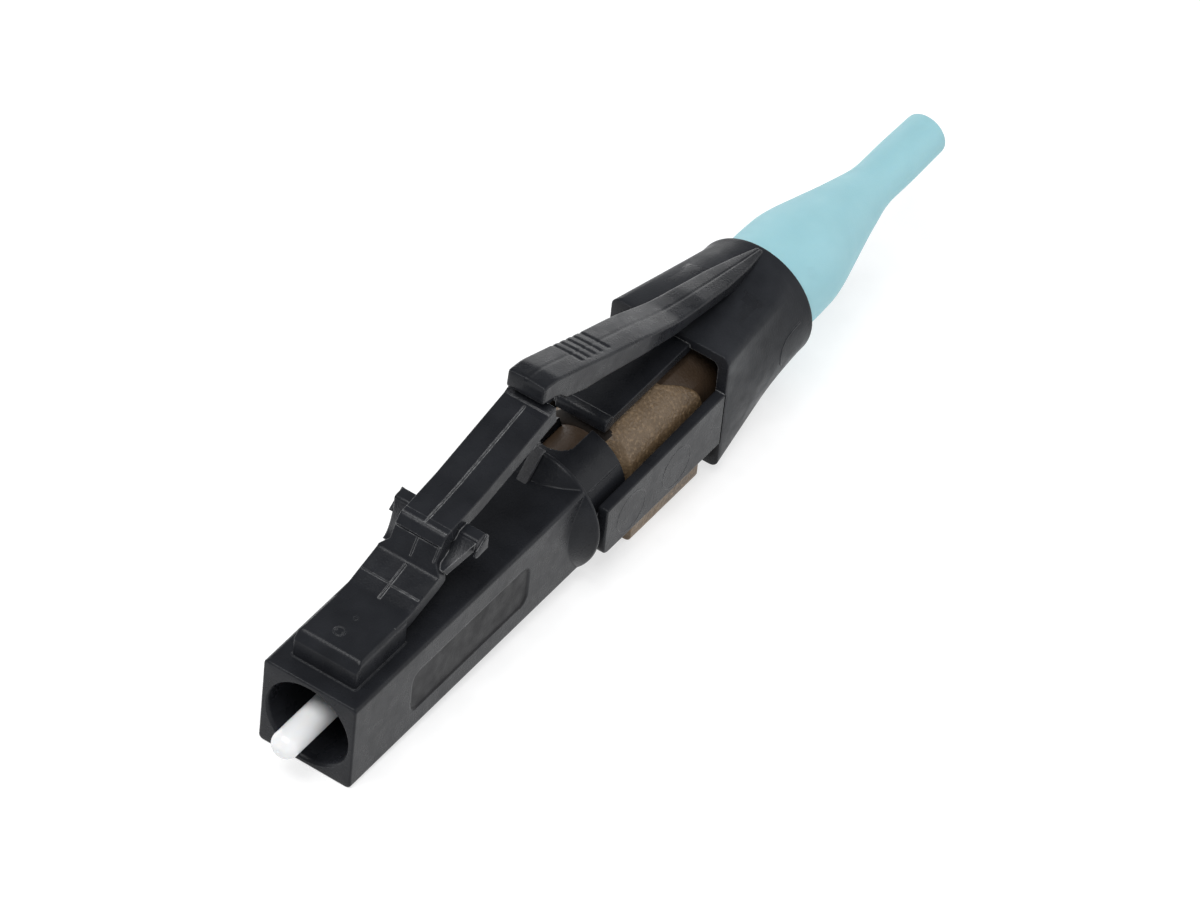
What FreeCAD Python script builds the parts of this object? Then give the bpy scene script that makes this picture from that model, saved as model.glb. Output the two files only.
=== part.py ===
import FreeCAD, Part
import math
import os

# Small push-in fibre connector with a latch on top, a clip-on trigger and a rubber boot.
# The origin is on the connector's axis in the plane of the nose's front face.
# -Y is the way it plugs in, +Y points to the boot, +Z is the latch side. Millimetres.

V = FreeCAD.Vector
AXIS = V(0, 1, 0)
ACROSS = V(1, 0, 0)

# Clearances
running_gap = 0.04
seat_gap = 0.03
part_gap = 0.12
join_gap = 0.06
same_place = 0.001
# How far a cutting shape reaches past the piece it cuts
past = 1.0

# Housing: square body with a round collar behind it, then a round barrel
nose_half = 2.26
nose_edge_r = 0.2
front_bore_r = 1.93
front_bore_depth = 6.2
web_thick = 0.9
square_len = 14.8
collar_len = 1.05
collar_slope_len = 0.9
collar_r = 3.1
barrel_len = 2.95
barrel_r = 2.32
barrel_wall = 0.4
mouth_chamfer = 0.12

# Label panel on the right side, bare
panel_start = 4.0
panel_len = 8.0
panel_low = -1.15
panel_high = 1.0
panel_depth = 0.06
panel_corner_r = 0.5

# Notch in the barrel's top, and the ramp on the collar in line with it
notch_len = 1.95
notch_half = 0.62
notch_shift = -0.22
ramp_half = 0.24
ramp_shift = -0.12
ramp_lead = 0.3
ramp_height = 0.06

# Latch: foot, flexing root, riser, catch ears and tail
foot_start = 0.9
foot_half = 1.56
foot_height = 1.32
foot_slope = 0.42
foot_corner_r = 0.3
root_y = 4.4
root_r = 0.34
latch_half = 1.5
tail_half = 1.12
riser_start = 2.0
riser_len = 0.85
riser_height = 1.45
bend_height = 0.58
tail_len = 7.45
tail_rise = 1.5
tail_knee = 2.45
tail_knee_rise = 0.36
tail_thick = 0.86
arm_thick = 0.72
latch_edge_r = 0.1
ear_reach = 2.14
ear_start = 3.05
ear_len = 1.25
ear_height = 0.6
ear_drop = 0.5
ear_tip_len = 0.6
ear_lip = 0.15

# Ferrule and the glass stub in it
ferrule_r = 0.6245
ferrule_reach = 1.9
ferrule_tip_len = 0.34
ferrule_tip_r = 0.42
ferrule_neck_r = 0.45
ferrule_seat_len = 2.2
stub_r = 0.0625
stub_gap = 0.01
stub_tail = 2.4

# Holder with the splice inside it
holder_nose_r = 1.1
holder_nose_len = 0.5
flange_r = 1.68
flange_thick = 1.0
holder_barrel_r = 1.24
holder_barrel_len = 17.0
splice_r = 0.82
splice_start = 5.2
splice_tail = 1.3
splice_split = 0.05
keel_half = 0.28
keel_height = 0.3
groove_depth = 0.09

# Spring and its retainer
wire_r = 0.14
spring_len = 3.3
spring_turns = 4.5
spring_clear = 0.08
steps_per_turn = 16
wire_sides = 8
retainer_thick = 1.0

# Cam in the clip's windows
cam_journal_len = 2.0
pad_r = 2.33
pad_len = 5.5
pad_bevel = 0.4
cam_core_r = 2.1
cam_tail_len = 3.9
wing_half = 2.15
wing_start = 0.55
wing_len = 4.9
wing_depth = 3.42
wing_edge_r = 0.35

# Clip: bell, ring, arms and tongue
arm_start = 2.3
arm_len = 8.4
clip_half = 2.95
clip_wall = 0.5
arm_top = 0.95
arm_low = -1.68
arm_edge_r = 0.1
bell_len = 5.5
bell_top = 3.15
bell_low = -3.1
bell_corner_r = 0.35
ring_r = 2.9
ring_len = 1.2
ring_wall = 0.47
tongue_half = 1.2
tongue_shift = -0.2
tongue_top = 2.88
tongue_len = 6.1
tongue_thick = 0.46
tongue_lip = 0.22
tongue_lip_len = 0.4
hook_depth = 0.12
hook_len = 0.5
hook_inset = 0.4

# Lever on top of the clip
lever_root_in = 1.5
lever_root_r = 0.32
lever_root_rise = 0.3
lever_root_half = 0.7
lever_half = 0.92
lever_tip_half = 1.05
lever_cover = 0.65
lever_lift = 0.38
lever_tip_thick = 0.92
groove_count = 5
groove_pitch = 0.4
groove_cut = 0.07
groove_place = 3.6
# Shares of the way from the root to the tip, and of the rise between them
lever_top_line = ((0.12, 0.1), (0.28, 0.24), (0.45, 0.42), (0.62, 0.61), (0.74, 0.75), (0.88, 0.91))
lever_thick_line = ((0.12, 0.6), (0.28, 0.5), (0.45, 0.85), (0.62, 1.05), (0.74, 1.12), (0.83, 1.35))

# Boot, crimp tube and lead-in tube
boot_seat_len = 2.6
boot_neck_len = 2.9
boot_cone_len = 4.9
boot_tube_len = 4.85
boot_waist_r = 1.14
boot_end_r = 1.02
boot_bore_r = 0.5
boot_room_gap = 5.04
boot_blend_len = 1.2
boot_blend_r = 1.35
crimp_r = 0.8
crimp_wall = 0.16
crimp_len = 5.2
lead_r = 0.45
lead_bore_r = 0.28
lead_inset = 2.07

# Places along the axis, worked out from the sizes above
web_front = front_bore_depth
web_rear = web_front + web_thick
barrel_start = square_len + collar_len
housing_end = barrel_start + barrel_len
barrel_bore_r = barrel_r - barrel_wall
flange_front = web_rear + seat_gap
flange_rear = flange_front + flange_thick
spring_rear = flange_rear + spring_len
retainer_front = spring_rear + seat_gap
holder_end = flange_rear + holder_barrel_len
splice_front = flange_rear + splice_start
splice_rear = holder_end - splice_tail
crimp_rear = holder_end + seat_gap + crimp_len
arms_front = housing_end - arm_start
bell_front = arms_front + arm_len
bell_rear = bell_front + bell_len
ring_rear = bell_rear + ring_len
foot_top = nose_half + foot_height
latch_root_z = foot_top - arm_thick / 2
riser_foot_y = root_y + riser_start
riser_top_y = riser_foot_y + riser_len
riser_top_z = foot_top + bend_height + riser_height
tail_end_y = riser_top_y + tail_len
tail_end_z = riser_top_z + tail_rise
lever_root_y = bell_rear - lever_root_in
lever_root_z = ring_r + lever_root_rise
lever_tip_y = tail_end_y - lever_cover
lever_tip_z = tail_end_z + lever_lift + lever_tip_thick + running_gap
ring_bore_r = ring_r - ring_wall
boot_seat_r = ring_bore_r - seat_gap
boot_front = ring_rear - boot_seat_len
boot_cone_start = ring_rear + boot_neck_len
boot_waist = boot_cone_start + boot_cone_len
boot_end = boot_waist + boot_tube_len


def rod(radius, start, end):
    return Part.makeCylinder(radius, end - start, V(0, start, 0), AXIS)


def tube(outer, inner, start, end):
    return rod(outer, start, end).cut(rod(inner, start - past, end + past))


def block(low, high):
    size = high.sub(low)
    return Part.makeBox(size.x, size.y, size.z, low)


def edges_at(solid, point, normal, along):
    """Straight edges that lie in the plane through point and run along the given direction."""
    found = []
    for edge in solid.Edges:
        first, last = edge.Vertexes[0].Point, edge.Vertexes[-1].Point
        flat = abs((first - point).dot(normal)) + abs((last - point).dot(normal)) < same_place
        if flat and (last - first).cross(along).Length < same_place < (last - first).Length:
            found.append(edge)
    return found


def turned(points):
    """Turns a closed outline of (y, radius) points about the connector's axis."""
    corners = [V(radius, y, 0) for y, radius in points]
    corners.append(corners[0])
    return Part.Face(Part.makePolygon(corners)).revolve(V(0, 0, 0), AXIS, 360)


def side_plate(points, half):
    """Extrudes a closed outline of (y, z) points across the connector, to both sides alike."""
    corners = [V(-half, y, z) for y, z in points]
    corners.append(corners[0])
    return Part.Face(Part.makePolygon(corners)).extrude(V(2 * half, 0, 0))


def square_wire(half, low, high, corner, y):
    """Rounded square across the axis at y, from -half to half and from low to high."""
    c = corner
    k = c * (1 - math.sqrt(0.5))
    a, b = V(-half + c, y, low), V(half - c, y, low)
    d, e = V(half, y, low + c), V(half, y, high - c)
    f, g = V(half - c, y, high), V(-half + c, y, high)
    h, i = V(-half, y, high - c), V(-half, y, low + c)
    edges = [
        Part.LineSegment(a, b),
        Part.Arc(b, V(half - k, y, low + k), d),
        Part.LineSegment(d, e),
        Part.Arc(e, V(half - k, y, high - k), f),
        Part.LineSegment(f, g),
        Part.Arc(g, V(-half + k, y, high - k), h),
        Part.LineSegment(h, i),
        Part.Arc(i, V(-half + k, y, low + k), a),
    ]
    return Part.Wire([edge.toShape() for edge in edges])


def square_rod(half, low, high, corner, start, end):
    return Part.Face(square_wire(half, low, high, corner, start)).extrude(V(0, end - start, 0))


def eight_arcs(radius, y, shape_half, shape_high, corner):
    """Circle cut into the same eight edges as the rounded square, so that the two loft together."""
    side = math.atan2(shape_half - corner, shape_high)
    flank = math.atan2(shape_half, shape_high - corner)
    angles = [
        math.pi + side, math.pi - side, math.pi - flank, flank,
        side, -side, -flank, -math.pi + flank, -math.pi + side,
    ]
    edges = []
    for first, last in zip(angles[:-1], angles[1:]):
        turn = last - first
        middle = first + turn / 2
        ends = [V(radius * math.sin(t), y, radius * math.cos(t)) for t in (first, middle, last)]
        edges.append(Part.Arc(*ends).toShape())
    return Part.Wire(edges)


def bell_solid(half, low, high, corner, radius, start, end):
    """Lofts the bell from its rounded square mouth to its round rear end."""
    mouth = square_wire(half, low, high, corner, start)
    back = eight_arcs(radius, end, half, high, corner)
    return Part.makeLoft([mouth, back], True, True)


def housing_outline():
    """Square bar, then a collar that slopes out of its flat sides, then the round barrel."""
    bar = square_rod(nose_half, -nose_half, nose_half, nose_edge_r, 0, barrel_start)
    turn = turned([
        (square_len, 0), (square_len, nose_half), (square_len + collar_slope_len, collar_r),
        (barrel_start, collar_r), (barrel_start, barrel_r), (housing_end, barrel_r), (housing_end, 0),
    ])
    return bar.fuse(turn)


def housing_room():
    """Front bore with its mouth chamfer, web hole, and the stepped room behind the web."""
    hole_r = holder_nose_r + running_gap
    room_r = flange_r + running_gap
    return turned([
        (-past, 0), (-past, front_bore_r + mouth_chamfer), (0, front_bore_r + mouth_chamfer),
        (mouth_chamfer, front_bore_r), (web_front, front_bore_r), (web_front, hole_r),
        (web_rear, hole_r), (web_rear, room_r), (housing_end - cam_journal_len, room_r),
        (housing_end - cam_journal_len, barrel_bore_r), (housing_end + past, barrel_bore_r),
        (housing_end + past, 0),
    ])


def label_panel():
    end = panel_start + panel_len
    outline = square_wire(panel_len / 2, panel_low, panel_high, panel_corner_r, 0)
    outline.rotate(V(0, 0, 0), V(0, 0, 1), 90)
    outline.translate(V(nose_half - panel_depth, (panel_start + end) / 2, 0))
    return Part.Face(outline).extrude(V(past, 0, 0))


def barrel_notch():
    start = housing_end - notch_len
    low = V(notch_shift - notch_half, start + notch_half, 0)
    high = V(notch_shift + notch_half, housing_end + past, barrel_r + past)
    round_end = Part.makeCylinder(notch_half, barrel_r + past, V(notch_shift, start + notch_half, 0))
    return block(low, high).fuse(round_end)


def collar_ramp():
    """Narrow ramp from the housing's top up to the collar's rim."""
    start = square_len - ramp_lead
    top = collar_r + ramp_height
    ramp = side_plate([
        (start, barrel_r - barrel_wall), (start, nose_half), (start + collar_slope_len, top),
        (barrel_start, top), (barrel_start, barrel_r - barrel_wall),
    ], ramp_half)
    return ramp.translated(V(ramp_shift, 0, 0))


def latch_foot():
    """Foot of the latch, hollowed at the back to the round seat of the flexing root."""
    top = foot_top
    low = nose_half - nose_edge_r
    foot = side_plate([
        (foot_start, low), (foot_start, top - foot_slope), (foot_start + foot_slope, top),
        (root_y, top), (root_y, low),
    ], foot_half)
    foot = foot.makeFillet(foot_corner_r, edges_at(foot, V(0, foot_start, 0), V(0, 1, 0), V(0, 0, 1)))
    return foot.cut(latch_root_pin(join_gap))


def latch_root_pin(gap):
    half = foot_half + past
    return Part.makeCylinder(root_r + gap, 2 * half, V(-half, root_y, latch_root_z), ACROSS)


def front_housing():
    body = housing_outline().cut(housing_room())
    body = body.cut(label_panel())
    body = body.cut(barrel_notch())
    return body.fuse(latch_foot()).fuse(collar_ramp()).removeSplitter()


def latch_arm():
    """Arm from the root over the riser, narrower tail behind it, and the two catch ears."""
    top = foot_top
    bend = top + bend_height
    knee_y = riser_top_y + tail_knee
    knee_z = riser_top_z + tail_knee_rise
    front = side_plate([
        (root_y, top), (riser_foot_y, bend), (riser_top_y, riser_top_z),
        (riser_top_y + tail_thick, riser_top_z - tail_thick / 2),
        (riser_foot_y + arm_thick, bend - arm_thick / 2), (riser_foot_y, bend - arm_thick),
        (root_y, top - arm_thick),
    ], latch_half)
    tail = side_plate([
        (riser_foot_y + tail_thick, bend), (riser_top_y, riser_top_z), (knee_y, knee_z),
        (tail_end_y - latch_edge_r, tail_end_z), (tail_end_y, tail_end_z - latch_edge_r * 2),
        (tail_end_y, tail_end_z - tail_thick), (knee_y, knee_z - tail_thick),
        (riser_top_y + tail_thick / 2, riser_top_z - tail_thick),
    ], tail_half)
    root = latch_root_pin(0).common(block(V(-latch_half, 0, 0), V(latch_half, housing_end, foot_top)))
    gap_back = root_y + root_r + join_gap
    arm = front.cut(block(V(-latch_half, 0, 0), V(latch_half, root_y, 2 * foot_top)))
    neck_low = V(-latch_half, root_y, latch_root_z - root_r)
    neck = block(neck_low, V(latch_half, gap_back, latch_root_z + root_r))
    return arm.fuse([root, neck, tail, catch_ears()]).removeSplitter()


def catch_ears():
    start = root_y + ear_start
    end = start + ear_len
    top = riser_top_z - ear_drop
    low = top - ear_height
    return side_plate([
        (start, low + ear_lip), (end - ear_tip_len, top), (end, top), (end, low), (start, low),
    ], ear_reach)


def ferrule():
    rear = web_front + ferrule_seat_len
    seat_y = web_front - holder_nose_len
    outline = [
        (-ferrule_reach, 0), (-ferrule_reach, ferrule_tip_r),
        (-ferrule_reach + ferrule_tip_len, ferrule_r), (seat_y, ferrule_r),
        (seat_y, ferrule_neck_r), (rear, ferrule_neck_r), (rear, 0),
    ]
    return turned(outline).cut(rod(stub_r + stub_gap, -ferrule_reach - past, rear + past))


def fibre_stub():
    return rod(stub_r, -ferrule_reach, web_front + ferrule_seat_len + stub_tail)


def holder_rod():
    front = web_front - holder_nose_len
    return turned([
        (front, 0), (front, holder_nose_r), (flange_front, holder_nose_r), (flange_front, flange_r),
        (flange_rear, flange_r), (flange_rear, holder_barrel_r), (holder_end, holder_barrel_r),
        (holder_end, 0),
    ])


def splice_room(gap):
    return rod(splice_r + gap, splice_front - gap, splice_rear + gap)


def keel(gap):
    low = V(-keel_half - gap, splice_front - gap, 0)
    return block(low, V(keel_half + gap, splice_rear + gap, splice_r + keel_height + gap))


def ferrule_holder():
    front = web_front - holder_nose_len
    seat_end = web_front + ferrule_seat_len + stub_gap
    holder = holder_rod().cut(rod(ferrule_neck_r + stub_gap, front - past, seat_end))
    holder = holder.cut(rod(stub_r + running_gap, front, holder_end))
    holder = holder.cut(splice_room(seat_gap))
    holder = holder.cut(keel(seat_gap).fuse(keel(seat_gap).translated(V(0, 0, keel_height))))
    return holder.cut(rod(lead_r + seat_gap, splice_rear, holder_end + past))


def splice_groove():
    side = stub_r + groove_depth
    left = V(-side, splice_front, splice_split)
    right = V(side, splice_front, splice_split)
    bottom = V(0, splice_front, -side)
    outline = Part.makePolygon([left, right, bottom, left])
    return Part.Face(outline).extrude(V(0, splice_rear - splice_front, 0))


def splice_upper():
    whole = rod(splice_r, splice_front, splice_rear).fuse(keel(0))
    reach = splice_r + keel_height
    upper = whole.common(block(V(-reach, splice_front, splice_split), V(reach, splice_rear, reach)))
    return upper.cut(rod(stub_r + stub_gap, splice_front, splice_rear)).removeSplitter()


def splice_lower():
    lower = rod(splice_r, splice_front, splice_rear)
    lower = lower.common(block(V(-splice_r, splice_front, -splice_r), V(splice_r, splice_rear, 0)))
    return lower.cut(splice_groove())


def spring_path():
    """Points of the coil's centre line, from just behind the flange to just ahead of the retainer."""
    coil_r = holder_barrel_r + spring_clear + wire_r
    start = flange_rear + wire_r + seat_gap
    length = spring_len - 2 * wire_r - 2 * seat_gap
    count = round(spring_turns * steps_per_turn)
    points = []
    for k in range(count + 1):
        angle = 2 * math.pi * k / steps_per_turn
        points.append(V(coil_r * math.cos(angle), start + length * k / count, coil_r * math.sin(angle)))
    return points


def spring():
    """Coiled wire, swept along short straight lengths with mitred corners."""
    path = spring_path()
    along = path[1].sub(path[0]).normalize()
    out = V(path[0].x, 0, path[0].z).normalize()
    side = along.cross(out)
    section = []
    for k in range(wire_sides + 1):
        angle = 2 * math.pi * k / wire_sides
        section.append(path[0] + out * (wire_r * math.cos(angle)) + side * (wire_r * math.sin(angle)))
    return Part.makePolygon(path).makePipeShell([Part.makePolygon(section)], True, False, 1)


def spring_retainer():
    inner_r = holder_barrel_r + running_gap * 2
    return tube(flange_r, inner_r, retainer_front, retainer_front + retainer_thick)


def cam():
    """Sleeve with a front journal in the barrel, a pad in the windows and a wing below it."""
    journal_r = barrel_bore_r - running_gap
    start = housing_end - cam_journal_len + seat_gap
    pad_start = housing_end + part_gap
    pad_end = pad_start + pad_len
    core_end = bell_front + cam_tail_len
    body = turned([
        (start, 0), (start, journal_r), (pad_start, journal_r), (pad_start, pad_r - pad_bevel),
        (pad_start + pad_bevel, pad_r), (pad_end, pad_r), (pad_end, cam_core_r), (core_end, cam_core_r),
        (core_end, 0),
    ])
    body = body.fuse(cam_wing())
    bore_r = holder_barrel_r + running_gap
    body = body.cut(rod(bore_r, start - past, core_end + past))
    return body.removeSplitter()


def cam_wing():
    start = housing_end + wing_start
    wing = block(V(-wing_half, start, -wing_depth), V(wing_half, start + wing_len, -pad_r / 2))
    return wing.makeFillet(wing_edge_r, edges_at(wing, V(0, 0, -wing_depth), V(0, 0, 1), V(0, 1, 0)))


def clip_arm():
    """One side arm, with the hook at its front that snaps over the barrel's step."""
    inner = clip_half - clip_wall
    low = V(inner, arms_front, arm_low)
    arm = block(low, V(clip_half, bell_front + clip_wall, arm_top))
    arm = arm.makeFillet(arm_edge_r, edges_at(arm, V(0, arms_front, 0), V(0, 1, 0), V(0, 0, 1)))
    hook_low = V(inner - hook_depth, arms_front, arm_low + hook_inset)
    return arm.fuse(block(hook_low, V(inner, arms_front + hook_len, arm_top - hook_inset)))


def clip_tongue():
    """Tongue above the cam's pad, a little to the left of the middle, with a raised front edge."""
    start = bell_front - tongue_len
    top = tongue_top
    tongue = side_plate([
        (start, top - tongue_thick), (start, top), (start + tongue_lip_len / 2, top + tongue_lip),
        (start + tongue_lip_len, top + tongue_lip), (start + tongue_lip_len * 2, top),
        (bell_front + clip_wall, top), (bell_front + clip_wall, top - tongue_thick),
    ], tongue_half)
    return tongue.translated(V(tongue_shift, 0, 0))


def trigger_body():
    inner_half = clip_half - clip_wall
    inner_low = bell_low + clip_wall
    inner_high = tongue_top - tongue_thick
    corner = bell_corner_r
    outer = bell_solid(clip_half, bell_low, bell_top, corner, ring_r, bell_front, bell_rear)
    inner = bell_solid(inner_half, inner_low, inner_high, corner, ring_bore_r, bell_front, bell_rear)
    bell = outer.fuse(rod(ring_r, bell_rear, ring_rear))
    arm = clip_arm()
    other = arm.mirror(V(0, 0, 0), V(1, 0, 0))
    bell = bell.fuse([arm, other, clip_tongue(), lever_pad()])
    bell = bell.cut(inner).cut(rod(ring_bore_r, bell_rear - past, ring_rear + past))
    return bell.cut(lever_root_pin(join_gap)).removeSplitter()


def lever_root_pin(gap):
    centre = V(-clip_half, lever_root_y, lever_root_z)
    return Part.makeCylinder(lever_root_r + gap, 2 * clip_half, centre, ACROSS)


def lever_pad():
    """Low pad behind the lever's flexing root, sloping down to the ring."""
    end = ring_rear - ring_wall
    return side_plate([
        (lever_root_y, ring_r - ring_wall), (lever_root_y, lever_root_z + lever_root_r),
        (end, ring_r), (end, ring_r - ring_wall),
    ], lever_root_half)


def lever_lines():
    """Points along the lever's top and underside, from the root to the tip."""
    reach = lever_tip_y - lever_root_y
    base = lever_root_z + lever_root_r
    rise = lever_tip_z - base
    top = [(lever_root_y + reach * s, base + rise * h) for s, h in lever_top_line]
    low = []
    for s, thick in lever_thick_line:
        share = height_at(s)
        low.append((lever_root_y + reach * s, base + rise * share - thick))
    return top, low


def height_at(s):
    line = ((0, 0),) + lever_top_line + ((1, 1),)
    for (s0, h0), (s1, h1) in zip(line[:-1], line[1:]):
        if s <= s1:
            return h0 + (h1 - h0) * (s - s0) / (s1 - s0)
    return 1


def spline(points):
    curve = Part.BSplineCurve()
    curve.interpolate([V(0, y, z) for y, z in points])
    return curve.toShape()


def trigger_lever():
    """Long curved lever, crowned along its middle, with its root's round end in the clip."""
    top, low = lever_lines()
    base = lever_root_z + lever_root_r
    first = (lever_root_y, base)
    tip = (lever_tip_y, lever_tip_z)
    under_tip = (lever_tip_y, lever_tip_z - lever_tip_thick)
    under_back = (lever_tip_y + lever_cover, lever_tip_z - lever_tip_thick)
    root_low = (lever_root_y, lever_root_z - join_gap)
    upper = spline([first] + top + [tip])
    lower = spline([root_low] + low)
    corners = [tip, under_tip, under_back, low[-1]]
    lines = [Part.makeLine(V(0, *a), V(0, *b)) for a, b in zip(corners[:-1], corners[1:])]
    lines.append(Part.makeLine(V(0, *root_low), V(0, *first)))
    face = Part.Face(Part.Wire(Part.__sortEdges__([upper, lower] + lines)))
    face.translate(V(-lever_tip_half, 0, 0))
    plate = face.extrude(V(2 * lever_tip_half, 0, 0))
    pin_room = block(V(-lever_root_half, 0, 0), V(lever_root_half, ring_rear, lever_tip_z))
    pin = lever_root_pin(0).common(pin_room)
    lever = plate.common(lever_plan()).fuse(pin)
    for k in range(groove_count):
        lever = lever.cut(grip_groove(k))
    return lever.removeSplitter()


def lever_plan():
    """Outline from above: narrow at the root, full width for most of its length, wider at the tip."""
    swell = lever_root_y + (lever_tip_y - lever_root_y) * lever_top_line[1][0]
    flare = lever_tip_y + groove_place - groove_pitch
    points = [
        (lever_root_half, lever_root_y), (lever_half, swell), (lever_half, flare),
        (lever_tip_half, lever_tip_y + lever_cover), (lever_tip_half, lever_tip_y),
    ]
    corners = [V(x, y, 0) for x, y in points] + [V(-x, y, 0) for x, y in reversed(points)]
    corners.append(corners[0])
    return Part.Face(Part.makePolygon(corners)).extrude(V(0, 0, 2 * lever_tip_z))


def grip_groove(k):
    y = lever_tip_y + groove_place + groove_pitch * k
    s = (y - lever_root_y) / (lever_tip_y - lever_root_y)
    base = lever_root_z + lever_root_r
    z = base + (lever_tip_z - base) * height_at(s)
    centre = V(-clip_half, y, z + groove_cut)
    return Part.makeCylinder(groove_cut * 2, 2 * clip_half, centre, ACROSS)


def lead_in_tube():
    return tube(lead_r, lead_bore_r, splice_rear + 2 * seat_gap, crimp_rear - lead_inset)


def crimp_tube():
    return tube(crimp_r, crimp_r - crimp_wall, holder_end + seat_gap, crimp_rear)


def boot():
    """Rubber boot: seat in the clip's ring, cone, slim tube and a stepped bore."""
    room_r = crimp_r + crimp_wall
    room_end = crimp_rear + boot_room_gap
    return turned([
        (boot_front, room_r), (boot_front, boot_seat_r), (boot_cone_start, boot_seat_r),
        (boot_waist - boot_blend_len, boot_blend_r), (boot_waist, boot_waist_r),
        (boot_end, boot_end_r), (boot_end, boot_bore_r), (room_end, boot_bore_r), (room_end, room_r),
    ])


PIECES = {
    "front_housing": front_housing,
    "latch_arm": latch_arm,
    "ferrule": ferrule,
    "fibre_stub": fibre_stub,
    "ferrule_holder": ferrule_holder,
    "splice_upper": splice_upper,
    "splice_lower": splice_lower,
    "spring": spring,
    "spring_retainer": spring_retainer,
    "cam": cam,
    "trigger_body": trigger_body,
    "trigger_lever": trigger_lever,
    "lead_in_tube": lead_in_tube,
    "crimp_tube": crimp_tube,
    "boot": boot,
}

os.makedirs("parts", exist_ok=True)
for name, make in PIECES.items():
    shape = make()
    shape.exportStep(f"parts/{name}.step")
    box = shape.BoundBox
    print(
        f"{name}: {len(shape.Solids)} solid, valid {shape.isValid()}, volume {shape.Volume:.3f},"
        f" y {box.YMin:.2f} to {box.YMax:.2f}, z {box.ZMin:.2f} to {box.ZMax:.2f}"
    )
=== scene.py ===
# %% [markdown]
# # A small fibre connector, dressed for its picture
# This lesson dresses a push-in fibre connector around its CAD frame. The CAD gives every body its
# place, and each new surface is written in the CAD's own frame: the origin at the nose, -Y the way it
# plugs in, +Z the latch side. Sizes are millimetres until a mesh is made, and then turn into metres.

# %% Load the frame
import math

import bmesh
import bpy
import numpy as np
from mathutils import Matrix, Vector


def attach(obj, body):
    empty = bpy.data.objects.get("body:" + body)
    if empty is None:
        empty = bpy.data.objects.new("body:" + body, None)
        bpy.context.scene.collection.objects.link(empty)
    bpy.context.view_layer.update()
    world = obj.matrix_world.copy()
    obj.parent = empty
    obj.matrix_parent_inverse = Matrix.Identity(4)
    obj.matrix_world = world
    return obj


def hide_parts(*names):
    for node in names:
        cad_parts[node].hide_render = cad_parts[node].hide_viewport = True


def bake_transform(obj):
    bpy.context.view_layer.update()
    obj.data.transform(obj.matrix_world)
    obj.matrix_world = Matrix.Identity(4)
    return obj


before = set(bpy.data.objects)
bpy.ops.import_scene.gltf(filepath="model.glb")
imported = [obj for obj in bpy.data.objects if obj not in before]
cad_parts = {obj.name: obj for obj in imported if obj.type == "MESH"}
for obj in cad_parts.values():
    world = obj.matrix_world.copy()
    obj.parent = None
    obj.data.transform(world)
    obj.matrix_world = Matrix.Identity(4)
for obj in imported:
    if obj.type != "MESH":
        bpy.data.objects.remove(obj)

scene = bpy.context.scene
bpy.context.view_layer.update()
print("nodes:", sorted(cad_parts))

# %% [markdown]
# ## From a grid of points to a mesh
# Every moulded piece is a skin: rows of points that run round the piece, one row after another along
# it. A row is a closed loop. The skin either closes on itself, as a tube wall does, or ends in two
# flat caps. The other way is to start from a cube and push its points about by hand, but a formula
# keeps the sizes readable and the surface even.

# %% Skin over a grid of points
MM = 0.001


def skin(points, ring=False):
    """Faces over a grid of points (rows, columns, 3): each face joins a point to the next one in its
    row and to the same two in the next row. With ring the last row joins the first, otherwise the
    first and the last row are closed by a flat cap each."""
    rows, columns = points.shape[:2]
    row = np.arange(rows if ring else rows - 1)[:, None]
    column = np.arange(columns)[None, :]
    here = row * columns + column
    beside = row * columns + (column + 1) % columns
    step = (row + 1) % rows * columns
    faces = np.stack([here, beside, step + (column + 1) % columns, step + column], -1).reshape(-1, 4)
    caps = [] if ring else [list(range(columns)), list(range((rows - 1) * columns, rows * columns))]
    return points.reshape(-1, 3), faces.tolist() + caps


print("three rows of four points make", len(skin(np.zeros((3, 4, 3)))[1]), "faces, with both caps")

# %% [markdown]
# ## From skins to a piece
# Several skins make one moulding. Gentle edges are shaded smooth and the others stay sharp, and
# weighted normals keep the large flats flat. A bevel modifier on every edge would do the same with far
# more points.

# %% One mesh, tied to its body
SMOOTH_ANGLE = math.radians(38)


def make_piece(name, skins, body, material, nodes=(), soft_angle=SMOOTH_ANGLE):
    """Joins skins into one mesh in metres, merges doubled points, turns every face outwards, rounds the
    shading over gentle edges only, and ties the piece to its body."""
    vertices, faces, start = [], [], 0
    for points, quads in skins:
        vertices.append(points)
        faces += [[start + k for k in quad] for quad in quads]
        start += len(points)
    mesh = bpy.data.meshes.new(name)
    mesh.from_pydata(np.concatenate(vertices) * MM, [], faces)
    shape = bmesh.new()
    shape.from_mesh(mesh)
    bmesh.ops.remove_doubles(shape, verts=shape.verts, dist=1e-7)
    bmesh.ops.dissolve_degenerate(shape, edges=shape.edges, dist=1e-8)
    bmesh.ops.recalc_face_normals(shape, faces=shape.faces)
    shape.to_mesh(mesh)
    shape.free()
    mesh.shade_smooth()
    mesh.set_sharp_from_angle(angle=soft_angle)
    mesh.materials.append(material)
    piece = bpy.data.objects.new(name, mesh)
    scene.collection.objects.link(piece)
    weigh = piece.modifiers.new("even_faces", "WEIGHTED_NORMAL")
    weigh.keep_sharp = True
    if nodes:
        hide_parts(*nodes)
    if body:
        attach(piece, body)
    print(f"{name}: {len(mesh.vertices)} points, {len(mesh.polygons)} faces")
    return piece


print("edges gentler than", round(math.degrees(SMOOTH_ANGLE)), "degrees are shaded smooth")

# %% [markdown]
# ## A second finish on some faces
# One moulding can have a coarser field, or a part in the shade of another. So a piece may carry several
# finishes, and its faces are chosen by where their middles lie. Cutting it into more pieces would also
# work, but the real thing is one, and a cut would show.

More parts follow.
